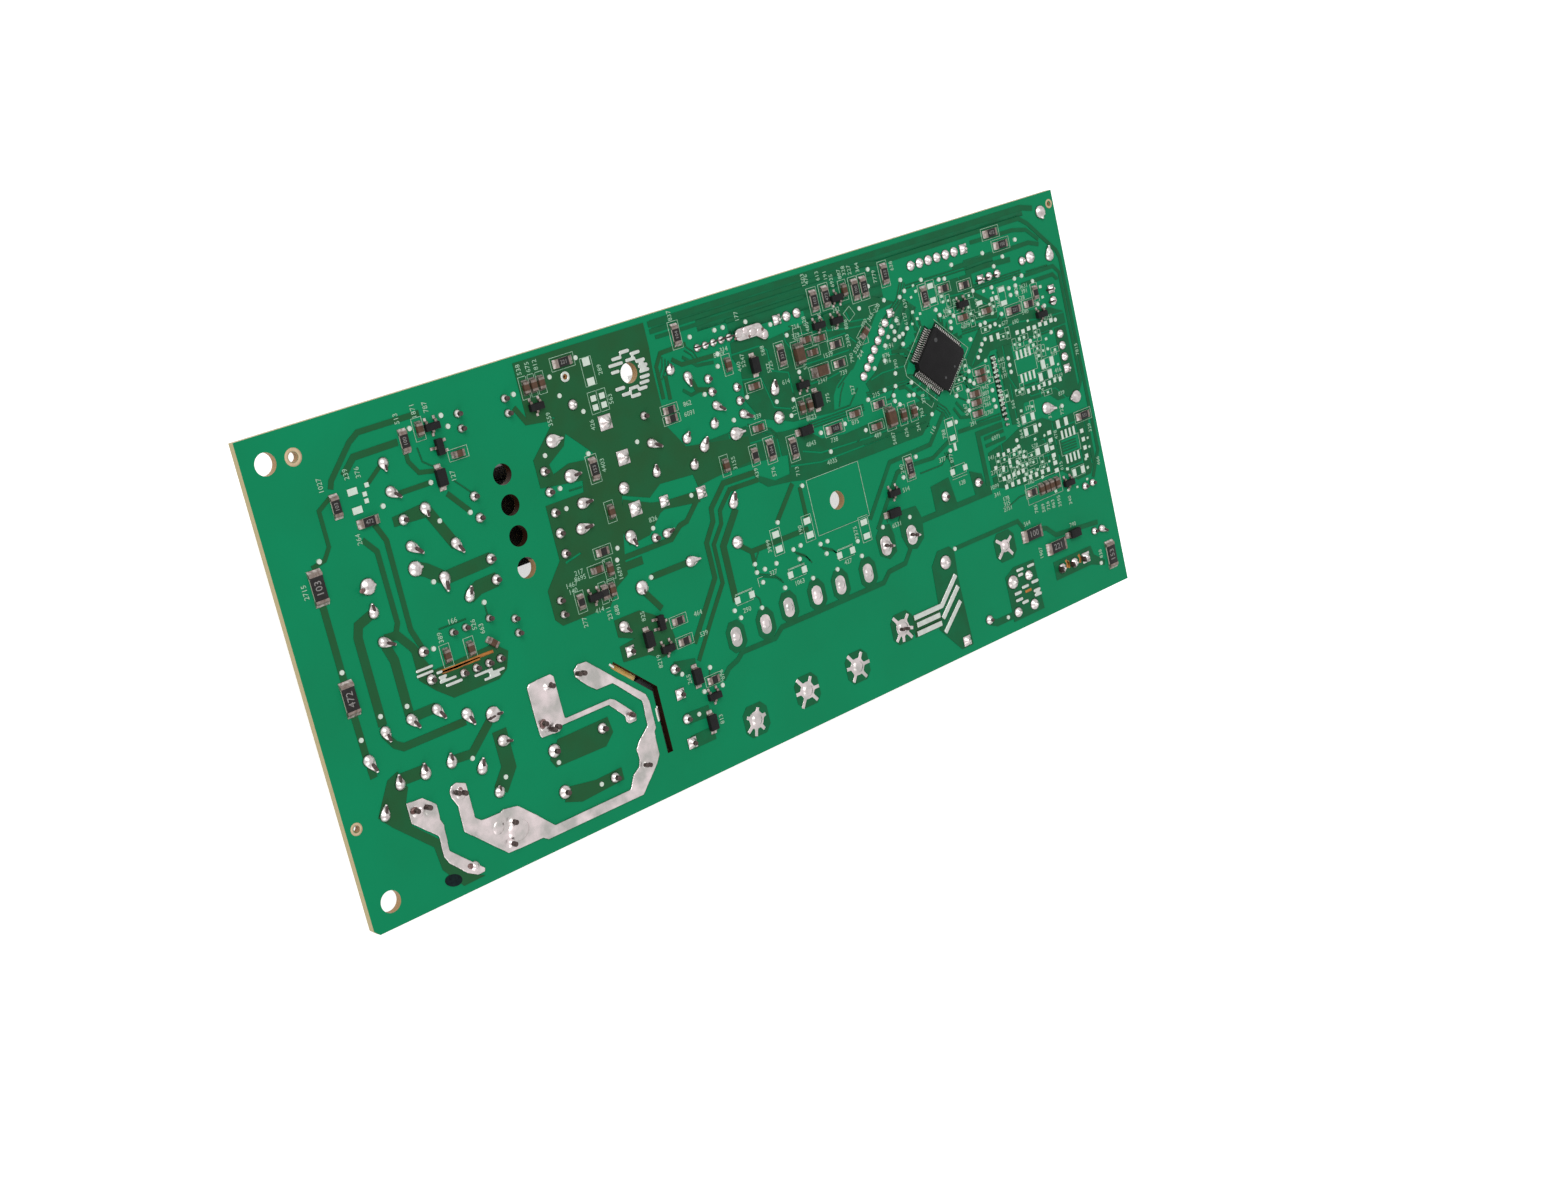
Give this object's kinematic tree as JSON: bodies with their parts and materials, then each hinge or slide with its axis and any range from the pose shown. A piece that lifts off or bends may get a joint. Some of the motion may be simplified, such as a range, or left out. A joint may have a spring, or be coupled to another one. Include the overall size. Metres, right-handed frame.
{
  "type": "microwave control board",
  "caption": "Flat control board of a microwave oven, solder side up: surface-mounted controller and chip parts, power supply, relays and plug-in headers below",
  "frame": {"origin": "centre of the board's plan outline, at the plane the part rests on", "axes": "+X along the board towards the logic end, +Y along its width, +Z out of the solder side"},
  "size_m": [0.2, 0.0886, 0.0231],
  "materials": {
    "green_laminate": "green lacquer over pale laminate",
    "lacquered_copper": "dark green lacquer over copper",
    "solder": "wave solder, pale and slightly rosy",
    "tinned_leads": "bright tin",
    "resistor_glaze": "black glaze",
    "ceramic_brown": "matt brown ceramic",
    "black_epoxy": "moulded black epoxy",
    "ferrite": "dark ferrite",
    "black_bobbin": "moulded black",
    "winding_tape": "black polyester tape over the turns",
    "dark_sleeve": "shrunk sleeve",
    "bare_aluminium": "mill finish",
    "film_box": "moulded box",
    "disc_lacquer": "dipped lacquer",
    "axial_epoxy": "moulded black",
    "relay_plastic": "moulded dark grey",
    "header_nylon": "natural nylon",
    "gold_tin_pins": "tinned brass",
    "tinned_brass": "tinned brass",
    "plated_copper_tab": "plated copper",
    "enamelled_wire": "copper enamel",
    "buzzer_plastic": "moulded black"
  },
  "bodies": {
    "root": {"laminate": "green_laminate", "mains_tracks": "lacquered_copper", "supply_tracks": "lacquered_copper", "logic_tracks": "lacquered_copper", "tinned_tracks": "solder", "tinned_bars": "solder", "test_pads": "solder", "bare_pads": "solder", "wide_joints": "solder", "mains_joints": "solder", "supply_joints": "solder", "logic_joints": "solder", "row_joints": "solder", "resistor_bodies": "resistor_glaze", "resistor_ends": "tinned_leads", "power_resistor_bodies": "resistor_glaze", "power_resistor_ends": "tinned_leads", "chip_capacitor_bodies": "ceramic_brown", "chip_capacitor_ends": "tinned_leads", "transistor_bodies": "black_epoxy", "transistor_leads": "tinned_leads", "diode_bodies": "black_epoxy", "diode_leads": "tinned_leads", "controller_body": "black_epoxy", "controller_leads": "tinned_leads", "transformer_core": "ferrite", "transformer_bobbin": "black_bobbin", "transformer_winding": "winding_tape", "transformer_pins": "tinned_leads", "switcher_body": "black_epoxy", "dip_leads": "tinned_leads", "optocoupler_bodies": "black_epoxy", "can_sleeves": "dark_sleeve", "can_tops": "bare_aluminium", "can_leads": "tinned_leads", "film_boxes": "film_box", "film_leads": "tinned_leads", "disc_bodies": "disc_lacquer", "disc_leads": "tinned_leads", "axial_bodies": "axial_epoxy", "axial_leads": "tinned_leads", "wire_jumpers": "tinned_leads", "relay_cases": "relay_plastic", "relay_bases": "black_bobbin", "relay_pins": "tinned_leads", "power_headers": "header_nylon", "power_pins": "gold_tin_pins", "signal_headers": "header_nylon", "signal_pins": "gold_tin_pins", "tab_terminal": "tinned_brass", "regulator_bodies": "black_epoxy", "regulator_tabs": "plated_copper_tab", "regulator_leads": "tinned_leads", "heat_sink": "bare_aluminium", "filter_choke_coils": "enamelled_wire", "filter_choke_base": "black_bobbin", "filter_choke_core": "ferrite", "buzzer_case": "buzzer_plastic", "buzzer_pins": "tinned_leads"}
  },
  "joints": []
}
